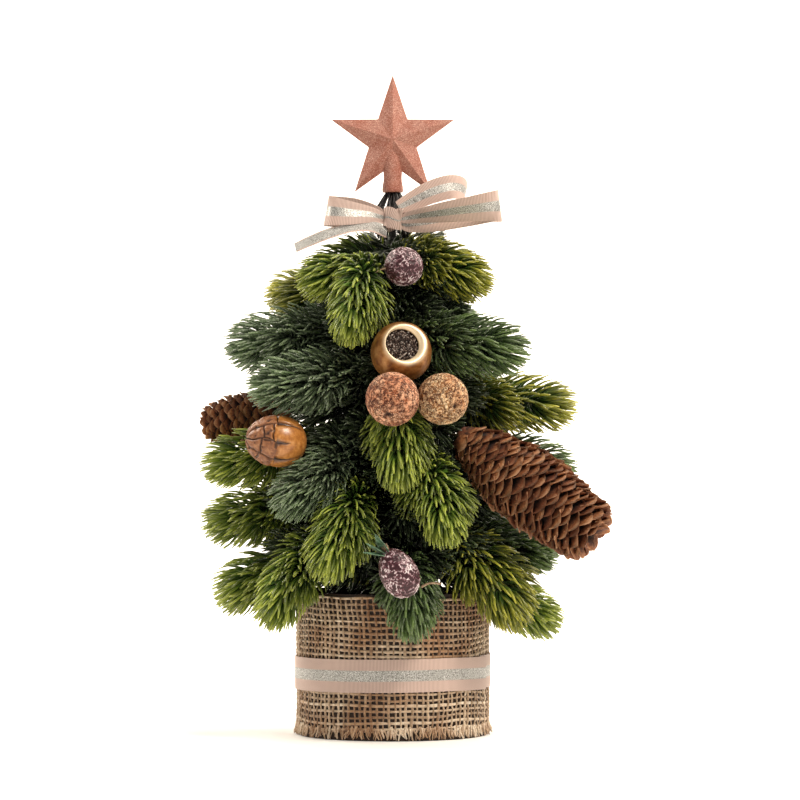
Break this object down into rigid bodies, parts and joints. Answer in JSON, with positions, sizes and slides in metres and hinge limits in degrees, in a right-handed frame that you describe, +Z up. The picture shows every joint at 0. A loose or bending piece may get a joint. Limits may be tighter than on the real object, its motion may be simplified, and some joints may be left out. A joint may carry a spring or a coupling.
{
  "type": "artificial tabletop tree",
  "caption": "Small artificial conifer in a burlap-wrapped pot, with wired needle branches, a lift-off faceted star, a ribbon bow, dried cones, pods and frosted berries.",
  "frame": {"origin": "middle of the flat underside of the pot, on the surface it stands on", "axes": "+Z up the trunk to the star's tip, the front faces -Y, +X to the right of the front"},
  "size_m": [0.2792, 0.2562, 0.45],
  "materials": {
    "cup_plastic": "black injection-moulded cup, matt",
    "plaster": "cast plaster, chalky and matt",
    "burlap": "open plain-woven jute, dry and hairy",
    "grosgrain_ribbon": "ribbed grosgrain, pink-beige with a silvery middle stripe",
    "steel_rod": "drawn steel, dull",
    "floral_tape": "waxed crepe tape, dark",
    "black_stems": "thin black plastic stems, satin",
    "copper_glitter": "moulded plastic under fine rose-copper glitter",
    "pick_wire": "lacquered florist wire, satin",
    "dried_cone": "dried spruce cone, woody and matt",
    "gilded_pod": "dried pod under gold paint, soft metallic gloss",
    "pod_seeds": "dark seeds with pale rims, matt",
    "cork_skin": "pitted corky fruit skin, matt",
    "dried_nut": "dried nut under clear lacquer, cracked",
    "frosted_berry": "burgundy berry with white frost",
    "moulded_needles": "moulded polyethylene needles, satin, yellow-green at their tips"
  },
  "bodies": {
    "tree": {"bow_band": "grosgrain_ribbon", "bow_knot": "grosgrain_ribbon", "bow_loop_left": "grosgrain_ribbon", "bow_loop_right": "grosgrain_ribbon", "bow_tail_left": "grosgrain_ribbon", "bow_tail_right": "grosgrain_ribbon", "broad_branch_1": "moulded_needles", "broad_branch_2": "moulded_needles", "broad_branch_3": "moulded_needles", "broad_branch_4": "moulded_needles", "burlap_wrap": "burlap", "cork_ball_left": "cork_skin", "cork_ball_right": "cork_skin", "frosted_berry": "frosted_berry", "frosted_berry_wire": "pick_wire", "frosted_cone_berry": "frosted_berry", "frosted_cone_berry_wire": "pick_wire", "gold_pod": "gilded_pod", "gold_pod_seeds": "pod_seeds", "large_cone": "dried_cone", "large_cone_wire": "pick_wire", "lower_branch_1": "moulded_needles", "lower_branch_2": "moulded_needles", "middle_branch_1": "moulded_needles", "nut_pod": "dried_nut", "nut_pod_wire": "pick_wire", "plaster_ballast": "plaster", "pod_cluster_wire": "pick_wire", "pot_cup": "cup_plastic", "pot_ribbon": "grosgrain_ribbon", "skirt_branch_1": "moulded_needles", "skirt_branch_3": "moulded_needles", "skirt_branch_5": "moulded_needles", "small_cone": "dried_cone", "small_cone_wire": "pick_wire", "top_stem_bundle": "black_stems", "trunk_rod": "steel_rod", "trunk_tape": "floral_tape", "upper_branch_1": "moulded_needles", "upper_branch_3": "moulded_needles", "upper_branch_5": "moulded_needles"},
    "star": {"star_back": "copper_glitter", "star_front": "copper_glitter", "star_socket": "copper_glitter"},
    "crown_branch_1": {"crown_branch_1": "moulded_needles"},
    "crown_branch_2": {"crown_branch_2": "moulded_needles"},
    "crown_branch_3": {"crown_branch_3": "moulded_needles"},
    "upper_branch_2": {"upper_branch_2": "moulded_needles"},
    "upper_branch_4": {"upper_branch_4": "moulded_needles"},
    "middle_branch_2": {"middle_branch_2": "moulded_needles"},
    "middle_branch_3": {"middle_branch_3": "moulded_needles"},
    "middle_branch_4": {"middle_branch_4": "moulded_needles"},
    "broad_branch_5": {"broad_branch_5": "moulded_needles"},
    "broad_branch_6": {"broad_branch_6": "moulded_needles"},
    "lower_branch_3": {"lower_branch_3": "moulded_needles"},
    "lower_branch_4": {"lower_branch_4": "moulded_needles"},
    "lower_branch_5": {"lower_branch_5": "moulded_needles"},
    "skirt_branch_2": {"skirt_branch_2": "moulded_needles"},
    "skirt_branch_4": {"skirt_branch_4": "moulded_needles"},
    "skirt_branch_6": {"skirt_branch_6": "moulded_needles"}
  },
  "joints": [
    {"name": "star_lift", "type": "slide", "parent": "tree", "child": "star", "axis": [0, 0, 1], "range_m": [0, 0.04]},
    {"name": "crown_bend_1", "type": "hinge", "parent": "tree", "child": "crown_branch_1", "pos_m": [-0.00407, -0.00235, 0.32008], "axis": [-0.5, 0.866, 0], "range_deg": [-16, 4]},
    {"name": "crown_bend_2", "type": "hinge", "parent": "tree", "child": "crown_branch_2", "pos_m": [0.00407, -0.00235, 0.31899], "axis": [-0.5, -0.866, 0], "range_deg": [-16, 6]},
    {"name": "crown_bend_3", "type": "hinge", "parent": "tree", "child": "crown_branch_3", "pos_m": [0.00033, 0.00469, 0.32317], "axis": [0.9976, -0.0698, 0], "range_deg": [-16, 4]},
    {"name": "upper_bend_2", "type": "hinge", "parent": "tree", "child": "upper_branch_2", "pos_m": [0.0036, -0.00302, 0.26469], "axis": [-0.6832, -0.7302, 0], "range_deg": [-16, 16]},
    {"name": "upper_bend_4", "type": "hinge", "parent": "tree", "child": "upper_branch_4", "pos_m": [-0.00415, 0.00221, 0.3002], "axis": [0.4695, 0.8829, 0], "range_deg": [-16, 16]},
    {"name": "middle_bend_2", "type": "hinge", "parent": "tree", "child": "middle_branch_2", "pos_m": [0.00469, -0.00033, 0.22576], "axis": [-0.0698, -0.9976, 0], "range_deg": [-16, 16]},
    {"name": "middle_bend_3", "type": "hinge", "parent": "tree", "child": "middle_branch_3", "pos_m": [-0.00276, 0.0038, 0.24465], "axis": [0.809, 0.5878, 0], "range_deg": [-16, 16]},
    {"name": "middle_bend_4", "type": "hinge", "parent": "tree", "child": "middle_branch_4", "pos_m": [0.00276, 0.0038, 0.23065], "axis": [0.809, -0.5878, 0], "range_deg": [-16, 8]},
    {"name": "broad_bend_5", "type": "hinge", "parent": "tree", "child": "broad_branch_5", "pos_m": [0.00458, 0.00106, 0.18505], "axis": [0.225, -0.9744, 0], "range_deg": [-16, 16]},
    {"name": "broad_bend_6", "type": "hinge", "parent": "tree", "child": "broad_branch_6", "pos_m": [-0.00065, 0.00465, 0.19649], "axis": [0.9903, 0.1392, 0], "range_deg": [-16, 16]},
    {"name": "lower_bend_3", "type": "hinge", "parent": "tree", "child": "lower_branch_3", "pos_m": [0.00456, -0.00114, 0.12732], "axis": [-0.2419, -0.9703, 0], "range_deg": [-10, 16]},
    {"name": "lower_bend_4", "type": "hinge", "parent": "tree", "child": "lower_branch_4", "pos_m": [-0.00338, 0.00326, 0.15211], "axis": [0.6947, 0.7193, 0], "range_deg": [-16, 16]},
    {"name": "lower_bend_5", "type": "hinge", "parent": "tree", "child": "lower_branch_5", "pos_m": [0.00344, 0.00321, 0.14811], "axis": [0.682, -0.7314, 0], "range_deg": [-16, 16]},
    {"name": "skirt_bend_2", "type": "hinge", "parent": "tree", "child": "skirt_branch_2", "pos_m": [-0.00355, -0.00308, 0.1139], "axis": [-0.6561, 0.7547, 0], "range_deg": [-16, 16]},
    {"name": "skirt_bend_4", "type": "hinge", "parent": "tree", "child": "skirt_branch_4", "pos_m": [0.00355, -0.00308, 0.1137], "axis": [-0.6561, -0.7547, 0], "range_deg": [-16, 16]},
    {"name": "skirt_bend_6", "type": "hinge", "parent": "tree", "child": "skirt_branch_6", "pos_m": [-0.00082, 0.00463, 0.11471], "axis": [0.9848, 0.1736, 0], "range_deg": [-16, 16]}
  ]
}
